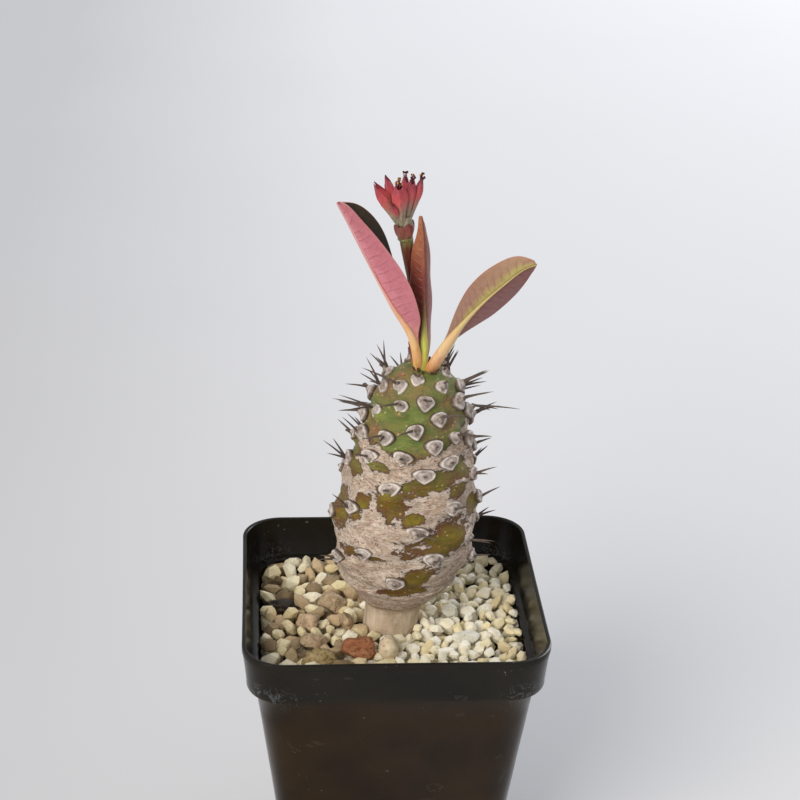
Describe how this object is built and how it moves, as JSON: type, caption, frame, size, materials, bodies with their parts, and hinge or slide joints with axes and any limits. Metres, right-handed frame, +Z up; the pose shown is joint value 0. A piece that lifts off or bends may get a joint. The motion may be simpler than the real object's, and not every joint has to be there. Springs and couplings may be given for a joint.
{
  "type": "potted euphorbia",
  "caption": "Spiny, corky succulent stem with folded pink leaves and a stalked red flower head, growing from pumice gravel in a square plastic nursery pot.",
  "frame": {"origin": "middle of the pot's flat underside, on the surface it stands on", "axes": "+Z up along the plant, +X to the right and -Y towards the viewer when the pot's front is faced"},
  "size_m": [0.07, 0.07, 0.1782],
  "materials": {
    "pot_plastic": "satin injection-moulded brown-black plastic with scuffs and lime specks",
    "soil": "dark crumbly potting mix",
    "pumice": "matt cream and white pumice grains",
    "tan_stone": "matt tan and brown broken stone",
    "lava": "matt reddish-brown porous lava",
    "bark": "dark rough bark",
    "stem_skin": "green-olive skin under flaking grey-pink cork",
    "spine_horn": "dry grey horn, dark at the spines",
    "leaf": "soft pink to tan leaf with a pale midrib",
    "stalk": "smooth dark red stalk",
    "flower": "soft red bracts with dark anthers"
  },
  "bodies": {
    "root": {"pot": "pot_plastic", "soil": "soil", "gravel_bed": "pumice", "stem": "stem_skin", "lava_stone": "lava", "oval_pebble": "tan_stone", "leaning_sliver": "tan_stone", "tan_stone": "tan_stone", "angular_stone": "tan_stone", "rough_stone": "tan_stone", "long_stone": "tan_stone", "white_stone": "pumice", "flat_white_stone": "pumice", "bark_chip": "bark", "spine_shield_01": "spine_horn", "spine_shield_02": "spine_horn", "spine_shield_03": "spine_horn", "spine_shield_04": "spine_horn", "spine_shield_05": "spine_horn", "spine_shield_06": "spine_horn", "spine_shield_07": "spine_horn", "spine_shield_08": "spine_horn", "spine_shield_09": "spine_horn", "spine_shield_10": "spine_horn", "spine_shield_11": "spine_horn", "spine_shield_12": "spine_horn", "spine_shield_13": "spine_horn", "spine_shield_14": "spine_horn", "spine_shield_15": "spine_horn", "spine_shield_16": "spine_horn", "spine_shield_17": "spine_horn", "spine_shield_18": "spine_horn", "spine_shield_19": "spine_horn", "spine_shield_20": "spine_horn", "spine_shield_21": "spine_horn", "spine_shield_22": "spine_horn", "spine_shield_23": "spine_horn", "spine_shield_24": "spine_horn", "spine_shield_25": "spine_horn", "spine_shield_26": "spine_horn", "spine_shield_27": "spine_horn", "spine_shield_28": "spine_horn", "spine_shield_29": "spine_horn", "spine_shield_30": "spine_horn", "left_leaf": "leaf", "middle_leaf": "leaf", "right_leaf": "leaf", "bud_leaf": "leaf", "flower_stalk": "stalk", "flower_cup": "stalk", "cyathium_1": "flower", "cyathium_2": "flower", "cyathium_3": "flower", "cyathium_4": "flower", "cyathium_5": "flower", "cyathium_6": "flower", "cyathium_7": "flower"}
  },
  "joints": []
}
